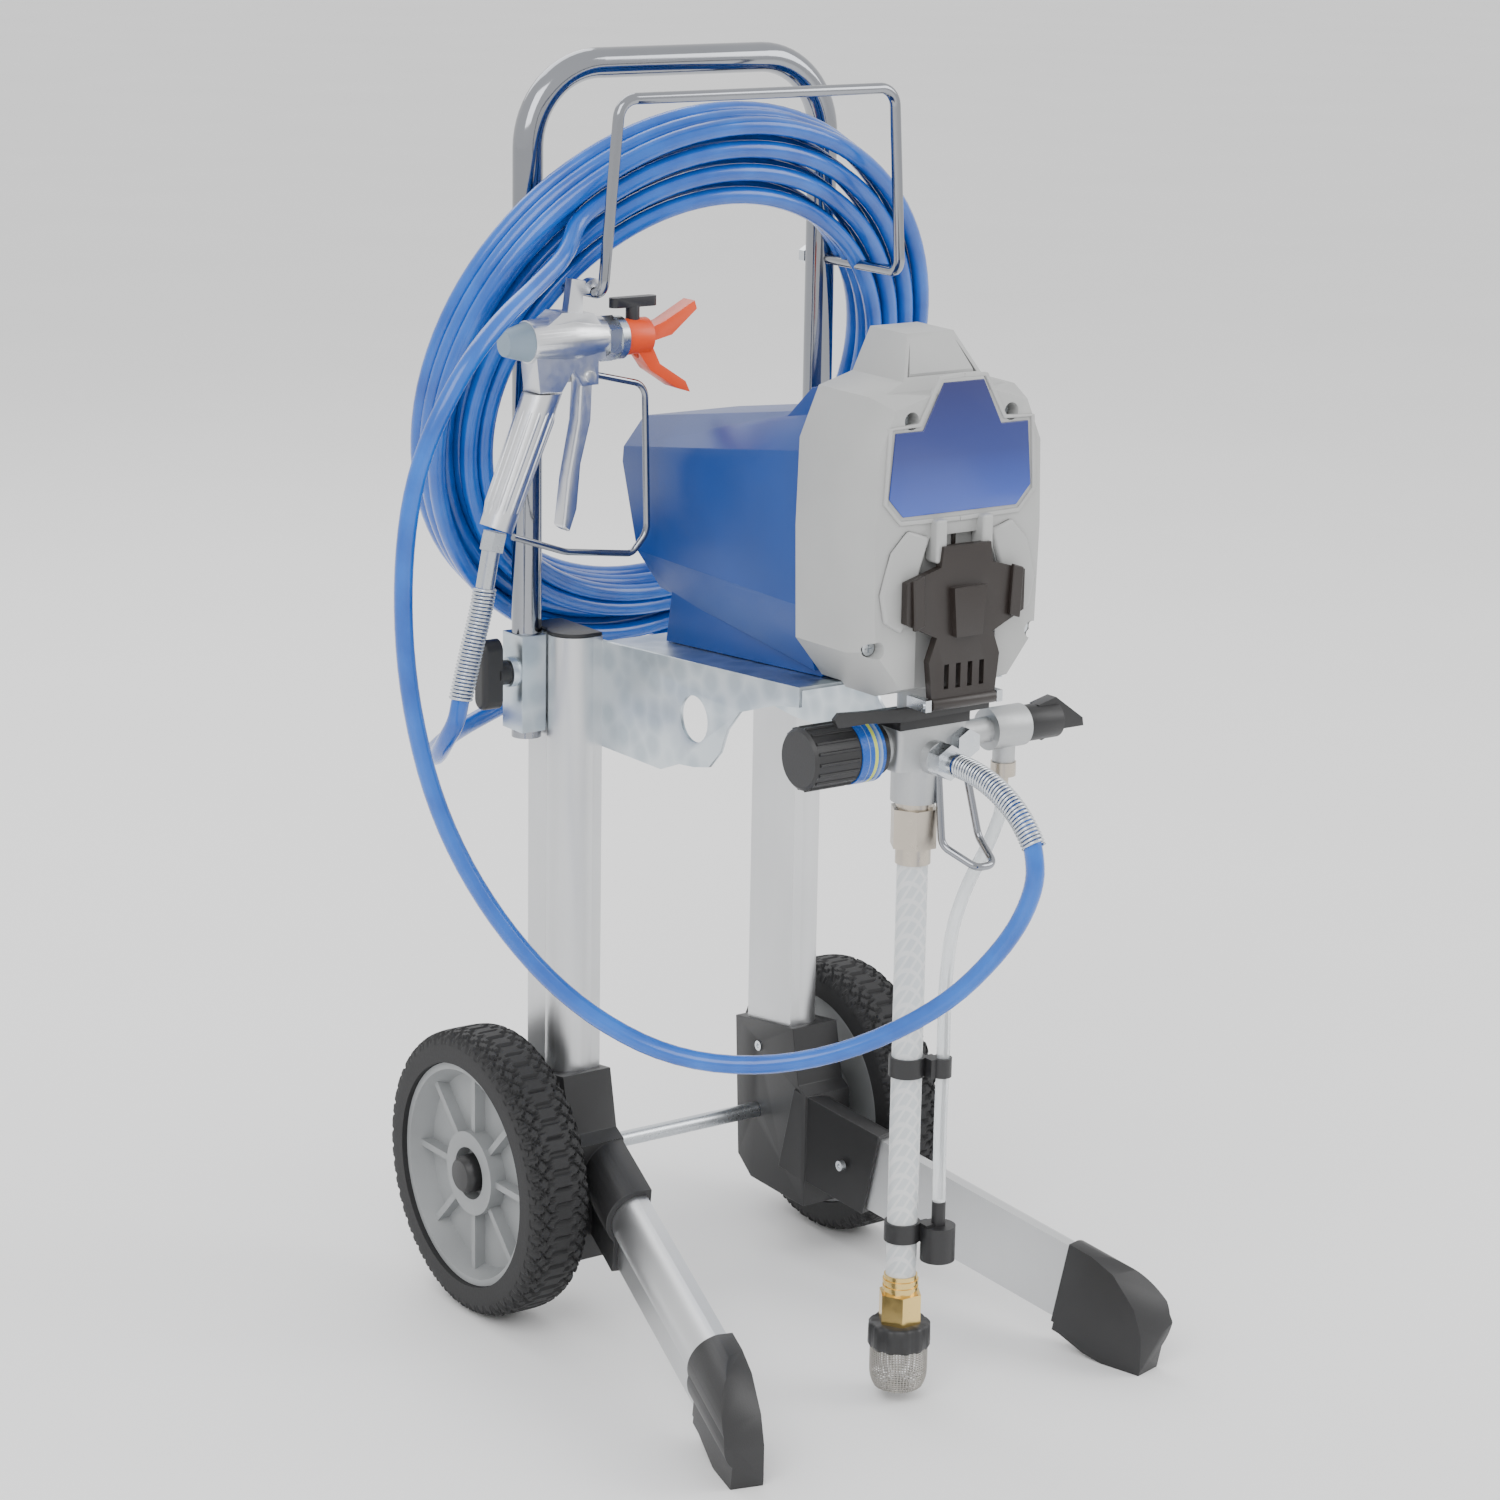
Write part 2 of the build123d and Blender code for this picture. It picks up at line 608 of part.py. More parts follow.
with BuildPart() as pressure_knob:
    rod((-62, PUMP_Y, MANIFOLD_Z), (-100, PUMP_Y, MANIFOLD_Z), 21.5)
    chamfer(pressure_knob.edges().group_by(Axis.X)[0], 2)
    rib_plane = Plane(origin=at(-64, PUMP_Y, MANIFOLD_Z), x_dir=(0, 1, 0), z_dir=(-1, 0, 0))
    with BuildSketch(rib_plane):
        with PolarLocations(21.5, 18):
            Circle(1.2)
    extrude(amount=33)
pressure_knob.part.label = "pressure_knob"
export_step(pressure_knob.part, "parts/pressure_knob.step")

with BuildPart() as pressure_band:
    rod((-42.4, PUMP_Y, MANIFOLD_Z), (-62, PUMP_Y, MANIFOLD_Z), 22.5, 5 + FIT)
pressure_band.part.label = "pressure_band"
export_step(pressure_band.part, "parts/pressure_band.step")

with BuildPart() as prime_knob:
    rod((92.3, PUMP_Y, MANIFOLD_Z), (122, PUMP_Y, MANIFOLD_Z), 13)
    lever = [(104, 500), (120, 504), (145, 486), (146, 480), (126, 480), (108, 474)]
    slab(front(PUMP_Y), lever, 5, both=True)
    drill((90, PUMP_Y, MANIFOLD_Z), (110, PUMP_Y, MANIFOLD_Z), 4 + FIT)
prime_knob.part.label = "prime_knob"
export_step(prime_knob.part, "parts/prime_knob.step")

with BuildPart() as manifold_fittings:
    hexagon_bar((0, -328, 480), (0, -340, 480), 11)
    rod((0, -340, 480), (0, -348, 480), 8)
    hexagon_bar((24, -320, 488), (24, -329, 488), 9)
manifold_fittings.part.label = "manifold_fittings"
export_step(manifold_fittings.part, "parts/manifold_fittings.step")

with BuildPart() as pail_hook:
    wire(
        [(8, PUMP_Y - 15, 472), (8, PUMP_Y - 22, 416), (20, PUMP_Y - 46, 404), (36, PUMP_Y - 46, 404),
         (40, PUMP_Y - 22, 418), (34, PUMP_Y - 15, 460), (26, PUMP_Y - 15, 478)],
        [10, 8, 8, 10, 10], 2.7,
    )
    block((0, 50), (PUMP_Y - 20, PUMP_Y + 18), (472, 502), mode=Mode.SUBTRACT)
pail_hook.part.label = "pail_hook"
export_step(pail_hook.part, "parts/pail_hook.step")

with BuildPart() as pump_shroud:
    wing = [(-85, 512), (-88, 518), (-84, 522), (-40, 519), (44, 517), (44, 510), (-30, 509), (-60, 512)]
    slab(front(-320.3), wing, 4)
    block((-30, 30), (-321, -284), (502, 509))
    drill((0, PUMP_Y, 500), (0, PUMP_Y, 512), 14)
    rod((-36, PUMP_Y, MANIFOLD_Z), (-42, PUMP_Y, MANIFOLD_Z), 19)
    rod((-42, PUMP_Y, MANIFOLD_Z), (-58, PUMP_Y, MANIFOLD_Z), 5)
pump_shroud.part.label = "pump_shroud"
export_step(pump_shroud.part, "parts/pump_shroud.step")

with BuildPart() as suction_tube:
    rod((0, PUMP_Y, 94), (0, PUMP_Y, 400), 11, 8.5)
suction_tube.part.label = "suction_tube"
export_step(suction_tube.part, "parts/suction_tube.step")

with BuildPart() as inlet_fitting:
    rod((0, PUMP_Y, 80), (0, PUMP_Y, 94), 12, 6)
    for z in (83, 88):
        rod((0, PUMP_Y, z), (0, PUMP_Y, z + 2.5), 13, 6)
    hexagon_bar((0, PUMP_Y, 58), (0, PUMP_Y, 80), 14, 6)
inlet_fitting.part.label = "inlet_fitting"
export_step(inlet_fitting.part, "parts/inlet_fitting.step")

with BuildPart() as inlet_strainer:
    rod((0, PUMP_Y, 40), (0, PUMP_Y, 58), 22.5, 6)
    rod((0, PUMP_Y, 10), (0, PUMP_Y, 40), 20.5, 18.5)
    rod((0, PUMP_Y, 8), (0, PUMP_Y, 10), 20.5)
inlet_strainer.part.label = "inlet_strainer"
export_step(inlet_strainer.part, "parts/inlet_strainer.step")

drain_route = [
    (78, -300, 443), (77, -301, 426), (64, -304, 404), (42, -309, 380), (26, -313, 350),
    (20, -315, 306), (20, -316, 258), (19, -316, 205), (20, -316, 150),
]
with BuildPart() as drain_tube:
    wire(drain_route, bend_radii(drain_route), 4.7)
drain_tube.part.label = "drain_tube"
export_step(drain_tube.part, "parts/drain_tube.step")

with BuildPart() as tube_clips:
    for z in (244, 120):
        rod((0, PUMP_Y, z), (0, PUMP_Y, z + 14), 13, 11)
        block((8, 17), (-318, -306), (z, z + 14))
        drill((0, PUMP_Y, z - 1), (0, PUMP_Y, z + 15), 11)
    rod((19, -316, 244), (19, -316, 258), 7)
    rod((20, -316, 106), (20, -316, 132), 12.5)
    rod((20, -316, 132), (20, -316, 150), 5)
    drill((0, PUMP_Y, 100), (0, PUMP_Y, 260), 11)
    drill((20, -316, 240), (20, -316, 262), 5.2)
    drill((20, -316, 100), (20, -316, 126), 9)
tube_clips.part.label = "tube_clips"
export_step(tube_clips.part, "parts/tube_clips.step")

# ---------------------------------------------------------------- electrical
SWITCH = (75.5, -150.0, 635.0)
with BuildPart() as electrical_fittings:
    block((72.8, 77), (-166, -134), (617, 653))
    block((73.8, 78), (-159.5, -140.5), (624.5, 645.5), mode=Mode.SUBTRACT)
    rod((0, -60, 546), (0, -73.5, 546), 8, 4)
electrical_fittings.part.label = "electrical_fittings"
export_step(electrical_fittings.part, "parts/electrical_fittings.step")

with BuildPart() as power_switch:
    rocker = [(75.6, 627), (75.6, 643), (77.5, 643), (76.8, 635), (79.5, 627)]
    slab(front(SWITCH[1]), rocker, 9, both=True)
power_switch.part.label = "power_switch"
export_step(power_switch.part, "parts/power_switch.step")

# ---------------------------------------------------------------- gun
with BuildPart() as gun_body:
    cone((-183, GUN_Y, GUN_Z), (-150, GUN_Y, GUN_Z), 15, 17)
    cone((-150, GUN_Y, GUN_Z), (-122, GUN_Y, GUN_Z), 17, 14)
    frame_side = [(-182.5, 752), (-160, 768), (-134, 766), (-124, 752), (-124, 734), (-150, 728),
                  (-160, 713), (-178, 713)]
    slab(front(GUN_Y), frame_side, 11, both=True)
    for s in SIDES.values():
        ear = [(-130, 736), (-130, 716), (-144, 716), (-152, 730)]
        slab(front(GUN_Y + s * 9), ear, 2, both=True)
    drill((TRIGGER_PIVOT[0], GUN_Y - 12, TRIGGER_PIVOT[1]), (TRIGGER_PIVOT[0], GUN_Y + 12, TRIGGER_PIVOT[1]), 2)
    with BuildSketch(front(GUN_Y + 4)):
        with Locations((-HANDLE_X, RACK_Z)):
            Circle(10)
            Circle(RACK_R + 0.4, mode=Mode.SUBTRACT)
        with Locations((-HANDLE_X, RACK_Z - 8)):
            Rectangle(9.4, 16, align=(Align.MIN, Align.CENTER), mode=Mode.SUBTRACT)
        with Locations((-HANDLE_X, RACK_Z - 7)):
            Rectangle(30, 14, mode=Mode.SUBTRACT)
        with BuildLine():
            Polyline((-139, 779), (-139, 762), (-152, 762), (-148, 790), (-137, 788), (-133.5, 779), close=True)
        make_face()
        with Locations((-HANDLE_X, RACK_Z)):
            Circle(RACK_R + 0.4, mode=Mode.SUBTRACT)
    extrude(amount=8)
    block((-158, -120), (GUN_Y - 6.9, GUN_Y + 6.9), (700, 731), mode=Mode.SUBTRACT)
    x, z = TRIGGER_PIVOT
    rod((x, GUN_Y - 11, z), (x, GUN_Y + 11, z), 2)
    rod((x, GUN_Y - 13, z), (x, GUN_Y - 11, z), 4)
gun_body.part.label = "gun_body"
export_step(gun_body.part, "parts/gun_body.step")

with BuildPart() as gun_end_cap:
    cone((-183, GUN_Y, GUN_Z), (-201, GUN_Y, GUN_Z), 14, 9)
gun_end_cap.part.label = "gun_end_cap"
export_step(gun_end_cap.part, "parts/gun_end_cap.step")

with BuildPart() as gun_trigger:
    x, z = TRIGGER_PIVOT
    rod((x, GUN_Y - 6.5, z), (x, GUN_Y + 6.5, z), 5.5)
    lever = [(-142, 722), (-144, 690), (-152, 650), (-156, 616), (-150, 612), (-144, 628),
             (-141, 660), (-133, 690), (-131.5, 722)]
    slab(front(GUN_Y), lever, 6.5, both=True)
    drill((x, GUN_Y - 8, z), (x, GUN_Y + 8, z), 2 + FIT)
gun_trigger.part.label = "gun_trigger"
export_step(gun_trigger.part, "parts/gun_trigger.step")

with BuildPart() as gun_grip:
    cone((-168, GUN_Y, 716), (-207, GUN_Y, 619), 13.5, 12)
    block((-190, -140), (GUN_Y - 30, GUN_Y + 30), (712, 740), mode=Mode.SUBTRACT)
gun_grip.part.label = "gun_grip"
export_step(gun_grip.part, "parts/gun_grip.step")

with BuildPart() as gun_fittings:
    hexagon_bar((-207.8, GUN_Y, 617.2), (-211, GUN_Y, 604), 8)
    rod((-211, GUN_Y, 604), (-216, GUN_Y, 578), 6.5)
    hexagon_bar((-122, GUN_Y, 746), (-112, GUN_Y, 746), 14)
    rod((-112, GUN_Y, 746), (-106, GUN_Y, 746), 15.5)
gun_fittings.part.label = "gun_fittings"
export_step(gun_fittings.part, "parts/gun_fittings.step")

with BuildPart() as trigger_guard:
    wire(
        [(-127, GUN_Y, 732.6), (-126, GUN_Y, 721), (-84, GUN_Y, 711), (-81, GUN_Y, 604), (-94, GUN_Y, 590),
         (-150, GUN_Y, 597), (-193, GUN_Y, 612)],
        [4, 12, 16, 8, 40], 2.4,
    )
trigger_guard.part.label = "trigger_guard"
export_step(trigger_guard.part, "parts/trigger_guard.step")

with BuildPart() as tip_guard:
    rod((-105.6, GUN_Y, 746), (-84, GUN_Y, 746), 13)
    upper = [(-90, 750), (-72, 756), (-47, 769), (-45, 763), (-66, 746), (-84, 742)]
    slab(front(GUN_Y), upper, 7, both=True)
    lower = [(-96, 738), (-84, 742), (-76, 726), (-54, 712), (-50, 704), (-62, 708), (-84, 722)]
    slab(front(GUN_Y), lower, 7, both=True)
    drill((TIP_X, GUN_Y, 730), (TIP_X, GUN_Y, 765), 5 + FIT)
tip_guard.part.label = "tip_guard"
export_step(tip_guard.part, "parts/tip_guard.step")

with BuildPart() as spray_tip:
    rod((TIP_X, GUN_Y, 735), (TIP_X, GUN_Y, 768), 5)
    with BuildSketch(level(767)):
        with Locations(at(TIP_X, GUN_Y, 0) - at(0, 0, 0)):
            SlotOverall(38, 9)
    extrude(amount=7)
spray_tip.part.label = "spray_tip"
export_step(spray_tip.part, "parts/spray_tip.step")

# ---------------------------------------------------------------- hose
coil_plane = Plane(origin=at(*COIL_CENTRE), x_dir=(1, 0, 0), z_dir=(0, -1, 0)).rotated((COIL_TILT, 0, 0))
with BuildPart() as hose_coil:
    with BuildSketch(Plane(origin=coil_plane.origin, x_dir=coil_plane.x_dir, z_dir=coil_plane.y_dir)):
        with Locations((COIL_R, 0)):
            Circle(COIL_BUNDLE)
    revolve(axis=Axis(coil_plane.origin, coil_plane.z_dir))
hose_coil.part.label = "hose_coil"
export_step(hose_coil.part, "parts/hose_coil.step")

pump_spring_route = [(0, -348, 480), (1, -366, 479), (3, -392, 470), (5, -414, 455), (6, -424, 440)]
gun_spring_route = [(-216, -84, 578), (-219, -84, 562), (-228, -84, 532), (-236, -84, 500)]
loop_route = [
    (6, -424, 440), (6, -428, 412), (-6, -414, 370), (-38, -380, 318), (-97, -322, 276),
    (-160, -262, 269), (-212, -212, 300), (-254, -172, 356), (-286, -142, 430), (-302, -126, 515),
    (-304, -120, 600), (-296, -126, 676), (-268, -136, 738), (-228, -122, 770), (-184, -102, 790),
    (-143, -84, 806),
]
tail_route = [
    (10, 70, 473), (-34, 68, 470), (-80, 63, 460), (-126, 54, 449), (-168, 38, 442),
    (-206, 6, 440), (-228, -36, 446), (-238, -66, 466), (-238, -82, 484), (-236, -84, 500),
]
for name, route in (("pump spring", pump_spring_route), ("gun spring", gun_spring_route),
                    ("loop", loop_route), ("tail", tail_route)):
    print(name, "bend radii", [round(r) for r in bend_radii(route)])


def hose_run(route, radius, name):
    with BuildPart() as run:
        with BuildLine() as path:
            FilletPolyline(*[at(*p) for p in route], radius=bend_radii(route))
        with BuildSketch(line_plane(path.line)):
            Circle(radius)
        sweep(path=path.line)
    length = sum(edge.length for edge in path.edges())
    expected = math.pi * radius**2 * length
    print(name, "length", round(length), "volume ratio", round(run.part.volume / expected, 4))
    return run


pump_spring = hose_run(pump_spring_route, 8, "pump_spring")
pump_spring.part.label = "pump_spring"
export_step(pump_spring.part, "parts/pump_spring.step")

gun_spring = hose_run(gun_spring_route, 8, "gun_spring")
gun_spring.part.label = "gun_spring"
export_step(gun_spring.part, "parts/gun_spring.step")

hose_loop = hose_run(loop_route, HOSE_R, "hose_loop")
hose_loop.part.label = "hose_loop"
export_step(hose_loop.part, "parts/hose_loop.step")

hose_tail = hose_run(tail_route, HOSE_R, "hose_tail")
hose_tail.part.label = "hose_tail"
export_step(hose_tail.part, "parts/hose_tail.step")
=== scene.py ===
import bmesh
import bpy
import json
import math
from mathutils import Matrix, Vector

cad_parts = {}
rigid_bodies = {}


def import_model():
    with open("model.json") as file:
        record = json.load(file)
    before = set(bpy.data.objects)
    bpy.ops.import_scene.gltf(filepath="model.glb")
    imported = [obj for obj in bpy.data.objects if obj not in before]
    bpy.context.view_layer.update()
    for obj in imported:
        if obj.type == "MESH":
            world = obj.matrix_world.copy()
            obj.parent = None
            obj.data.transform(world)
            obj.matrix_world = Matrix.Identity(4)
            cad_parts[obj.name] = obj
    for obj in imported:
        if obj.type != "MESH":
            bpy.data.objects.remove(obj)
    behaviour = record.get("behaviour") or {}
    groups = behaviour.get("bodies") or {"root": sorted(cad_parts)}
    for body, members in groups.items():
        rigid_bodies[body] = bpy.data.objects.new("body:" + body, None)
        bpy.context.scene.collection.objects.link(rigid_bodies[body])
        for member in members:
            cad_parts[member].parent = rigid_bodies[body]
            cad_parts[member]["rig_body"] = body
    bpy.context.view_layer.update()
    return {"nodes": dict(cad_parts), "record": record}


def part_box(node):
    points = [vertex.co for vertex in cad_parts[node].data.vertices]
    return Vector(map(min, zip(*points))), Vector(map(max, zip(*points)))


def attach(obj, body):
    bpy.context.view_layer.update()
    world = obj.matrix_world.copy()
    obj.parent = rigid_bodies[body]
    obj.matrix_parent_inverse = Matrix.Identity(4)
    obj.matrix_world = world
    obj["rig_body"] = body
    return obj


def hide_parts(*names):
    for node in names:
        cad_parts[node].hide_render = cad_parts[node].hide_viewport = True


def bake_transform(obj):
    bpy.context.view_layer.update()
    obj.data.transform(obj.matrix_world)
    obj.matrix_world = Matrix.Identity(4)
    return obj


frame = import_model()

# the middle of the axle seen from above, in the model's frame, in millimetres
axle_low, axle_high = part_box("axle")
AXLE_X, AXLE_Y = [round((axle_low[i] + axle_high[i]) * 500, 3) for i in (0, 1)]
HOSE_R = 0.0065
COIL_CENTRE = (0.0, 1.0, 693.0)
COIL_TILT = math.radians(20.0)
COIL_R = 193.5
PUMP_Y = -300.0
SLOT_OF = {row["node"]: row["material_slot"] for row in frame["record"]["subparts"]}


def at(x, y, z):
    """A place in millimetres from the floor under the axle, as a point of the model in metres."""
    return Vector(((x + AXLE_X) / 1000, (y + AXLE_Y) / 1000, z / 1000))


# ---------------------------------------------------------------- materials
class Nodes:
    """A short way to build a procedural material."""

    def __init__(self, name, colour, roughness, metallic=0.0, **sockets):
        self.material = bpy.data.materials.new(name)
        self.material.use_nodes = True
        self.tree = self.material.node_tree
        self.shader = self.tree.nodes["Principled BSDF"]
        self.shader.inputs["Base Color"].default_value = (*colour, 1)
        self.shader.inputs["Roughness"].default_value = roughness
        self.shader.inputs["Metallic"].default_value = metallic
        for key, value in sockets.items():
            self.shader.inputs[key.replace("_", " ")].default_value = value
        self.place = self.add("ShaderNodeTexCoord").outputs["Object"]

    def add(self, kind, **settings):
        node = self.tree.nodes.new(kind)
        for key, value in settings.items():
            setattr(node, key, value)
        return node

    def link(self, source, target):
        self.tree.links.new(source, target)

    def stretched(self, scale):
        mapping = self.add("ShaderNodeMapping")
        mapping.inputs["Scale"].default_value = scale
        self.link(self.place, mapping.inputs["Vector"])
        return mapping.outputs["Vector"]

    def noise(self, scale, detail=4.0, vector=None):
        node = self.add("ShaderNodeTexNoise")
        node.inputs["Scale"].default_value = scale
        node.inputs["Detail"].default_value = detail
        self.link(vector or self.place, node.inputs["Vector"])
        return node.outputs["Fac"]

    def ramp(self, factor, stops):
        node = self.add("ShaderNodeValToRGB")
        elements = node.color_ramp.elements
        while len(elements) < len(stops):
            elements.new(0.5)
        for element, (position, colour) in zip(elements, stops):
            element.position = position
            element.color = (*colour, 1)
        self.link(factor, node.inputs["Fac"])
        return node.outputs["Color"]

    def tint(self, factor, low, high):
        self.link(self.ramp(factor, [(0.3, low), (0.7, high)]), self.shader.inputs["Base Color"])

    def rough(self, factor, low, high):
        node = self.add("ShaderNodeMapRange")
        node.inputs["To Min"].default_value = low
        node.inputs["To Max"].default_value = high
        self.link(factor, node.inputs["Value"])
        self.link(node.outputs["Result"], self.shader.inputs["Roughness"])

    def bump(self, height, strength, distance):
        node = self.add("ShaderNodeBump")
        node.inputs["Strength"].default_value = strength
        node.inputs["Distance"].default_value = distance
        self.link(height, node.inputs["Height"])
        self.link(node.outputs["Normal"], self.shader.inputs["Normal"])


def shade(colour, factor):
    return tuple(min(1.0, c * factor) for c in colour)


def plastic(name, colour, roughness, grain=900.0, depth=0.0002, spread=0.12):
    """Moulded plastic with a fine spark-eroded grain and slight colour drift."""
    m = Nodes(name, colour, roughness)
    m.tint(m.noise(14, 3), shade(colour, 1 - spread), shade(colour, 1 + spread))
    fine = m.noise(grain, 3)
    m.rough(fine, roughness - 0.06, roughness + 0.08)
    m.bump(fine, 0.35, depth)
    return m.material


def metal(name, colour, roughness, stretch=(1, 1, 1), scale=60.0, depth=0.00008, spread=0.1):
    """Metal with a drawn, plated or cast surface, by the stretch and scale of its noise."""
    m = Nodes(name, colour, roughness, 1.0)
    cloud = m.noise(9, 4)
    m.tint(cloud, shade(colour, 1 - spread), shade(colour, 1 + spread))
    lines = m.noise(scale, 5, m.stretched(stretch))
    m.rough(lines, max(0.02, roughness - 0.07), roughness + 0.1)
    m.bump(lines, 0.3, depth)
    return m.material


def galvanised_sheet():
    m = Nodes("galvanised_sheet", (0.56, 0.62, 0.67), 0.34, 1.0)
    cells = m.add("ShaderNodeTexVoronoi")
    cells.inputs["Scale"].default_value = 55
    m.link(m.place, cells.inputs["Vector"])
    m.tint(cells.outputs["Distance"], (0.50, 0.57, 0.62), (0.66, 0.72, 0.76))
    m.rough(m.noise(30, 4), 0.26, 0.42)
    m.bump(m.noise(400, 3), 0.15, 0.0001)
    return m.material


def hose_jacket():
    m = Nodes("hose_jacket", (0.005, 0.13, 0.56), 0.22, Coat_Weight=0.45, Coat_Roughness=0.12)
    m.tint(m.noise(26, 4), (0.002, 0.075, 0.40), (0.006, 0.135, 0.58))
    m.rough(m.noise(120, 4), 0.16, 0.30)
    m.bump(m.noise(700, 2), 0.2, 0.00015)
    return m.material


def braided_tube():
    """A clear tube whose reinforcing threads cross in small diamonds."""
    m = Nodes("braided_tube", (0.86, 0.89, 0.90), 0.16, Transmission_Weight=0.35, IOR=1.45)
    total = None
    for sign in (1, -1):
        wave = m.add("ShaderNodeTexWave", wave_type="BANDS", bands_direction="DIAGONAL")
        wave.inputs["Scale"].default_value = 62
        m.link(m.stretched((sign, 1, 0.8)), wave.inputs["Vector"])
        if total is None:
            total = wave.outputs["Fac"]
        else:
            both = m.add("ShaderNodeMath", operation="MAXIMUM")
            m.link(total, both.inputs[0])
            m.link(wave.outputs["Fac"], both.inputs[1])
            total = both.outputs[0]
    colour = m.ramp(total, [(0.72, (0.80, 0.84, 0.86)), (0.92, (0.97, 0.98, 0.98))])
    m.link(colour, m.shader.inputs["Base Color"])
    m.bump(total, 0.5, 0.0004)
    return m.material


def clear_tube():
    m = Nodes("clear_tube", (0.90, 0.93, 0.94), 0.12, Transmission_Weight=0.6, IOR=1.45)
    m.tint(m.noise(20, 3), (0.84, 0.88, 0.90), (0.95, 0.97, 0.98))
    m.rough(m.noise(90, 3), 0.08, 0.2)
    m.bump(m.noise(200, 2), 0.1, 0.0001)
    return m.material


def striped_band():
    """The pressure scale: a blue ring with a yellow-green stripe and two thin pale lines."""
    m = Nodes("pressure_scale", (0.02, 0.12, 0.5), 0.28)
    split = m.add("ShaderNodeSeparateXYZ")
    m.link(m.place, split.inputs["Vector"])
    low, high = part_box("pressure_band")
    span = m.add("ShaderNodeMapRange")
    span.inputs["From Min"].default_value = low[0]
    span.inputs["From Max"].default_value = high[0]
    m.link(split.outputs["X"], span.inputs["Value"])
    blue, lime, pale = (0.008, 0.09, 0.42), (0.55, 0.62, 0.10), (0.30, 0.40, 0.55)
    stops = [(0, blue), (0.30, blue), (0.31, pale), (0.34, blue), (0.52, blue), (0.53, lime),
             (0.66, lime), (0.67, blue), (0.85, pale), (0.88, blue)]
    colour = m.ramp(span.outputs["Result"], stops)
    m.link(colour, m.shader.inputs["Base Color"])
    m.rough(m.noise(300, 3), 0.2, 0.34)
    m.bump(m.noise(600, 2), 0.2, 0.0001)
    return m.material


def badge_face():
    """A plain glossy plate that fades from dark navy at the top to blue below."""
    m = Nodes("badge_face", (0.02, 0.03, 0.2), 0.2, Coat_Weight=0.5)
    split = m.add("ShaderNodeSeparateXYZ")
    m.link(m.place, split.inputs["Vector"])
    low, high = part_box("badge")
    span = m.add("ShaderNodeMapRange")
    span.inputs["From Min"].default_value = low[2]
    span.inputs["From Max"].default_value = high[2]
    m.link(split.outputs["Z"], span.inputs["Value"])
    stops = [(0.0, (0.02, 0.07, 0.42)), (0.45, (0.012, 0.03, 0.2)), (1.0, (0.01, 0.015, 0.12))]
    m.link(m.ramp(span.outputs["Result"], stops), m.shader.inputs["Base Color"])
    m.rough(m.noise(200, 3), 0.14, 0.26)
    m.bump(m.noise(500, 2), 0.1, 0.00008)
    return m.material


BLACK = (0.018, 0.018, 0.019)
MATERIALS = {
    "aluminium_profile": metal("anodised_profile", (0.66, 0.67, 0.68), 0.36, (1, 1, 0.02), 500,
                               0.00005, 0.05),
    "black_plastic": plastic("black_plastic", BLACK, 0.42),
    "door_plastic": plastic("door_plastic", (0.022, 0.017, 0.015), 0.36),
    "zinc": metal("zinc_plate", (0.62, 0.65, 0.68), 0.26, scale=90),
    "galvanised": galvanised_sheet(),
    # painted reflection: the chrome's base colour is set to a dark grey so it shows dark reflections
    # instead of mirroring the white studio
    "chrome": metal("chrome_painted_dark_reflection", (0.30, 0.31, 0.335), 0.07, scale=30, depth=0.00002, spread=0.05),
    "wheel_plastic": plastic("wheel_plastic", (0.27, 0.28, 0.285), 0.5, 700),
    "tyre": plastic("tyre_rubber", (0.016, 0.016, 0.017), 0.68, 500, 0.0004),
    "blue_plastic": plastic("blue_plastic", (0.004, 0.046, 0.235), 0.34, 1100, 0.00012, 0.08),
    "grey_plastic": plastic("grey_plastic", (0.41, 0.415, 0.41), 0.4, 1000, 0.00014, 0.05),
    "badge": badge_face(),
    "steel": metal("machined_steel", (0.45, 0.46, 0.47), 0.3, (1, 0.1, 1), 200),
    "cast": metal("cast_metal", (0.50, 0.51, 0.515), 0.5, scale=350, depth=0.0003),
    "nickel": metal("nickel_plate", (0.52, 0.47, 0.40), 0.28, scale=120),
    "band": striped_band(),
    "clear_tube": braided_tube(),
    "brass": metal("brass", (0.80, 0.58, 0.22), 0.22, scale=150),
    "strainer": metal("strainer_steel", (0.42, 0.40, 0.37), 0.34, scale=200),
    "hose": hose_jacket(),
    "gun_metal": metal("bright_cast", (0.74, 0.75, 0.77), 0.3, scale=260, depth=0.0002),
    "gun_cap": plastic("gun_cap", (0.22, 0.29, 0.35), 0.4),
    "orange": plastic("orange_plastic", (0.78, 0.075, 0.012), 0.36, 900, 0.0001, 0.08),
    "tip_black": plastic("tip_black", (0.022, 0.022, 0.026), 0.4),
}
MATERIALS["drain_clear"] = clear_tube()


def dress(obj, slot):
    obj.data.materials.clear()
    obj.data.materials.append(MATERIALS[slot])


for node, obj in frame["nodes"].items():
    dress(obj, SLOT_OF[node])
dress(frame["nodes"]["drain_tube"], "drain_clear")


# ---------------------------------------------------------------- mesh helpers
def mesh_object(name, verts, faces, body, slot, node=None, smooth=True):
    mesh = bpy.data.meshes.new(name)
    mesh.from_pydata([tuple(v) for v in verts], [], faces)
    mesh.validate()
    obj = bpy.data.objects.new(name, mesh)
    bpy.context.scene.collection.objects.link(obj)
    if smooth:
        mesh.shade_smooth()
    obj.data.materials.append(MATERIALS[slot])
    if body:
        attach(obj, body)
    if node:
        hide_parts(*node)
    return obj


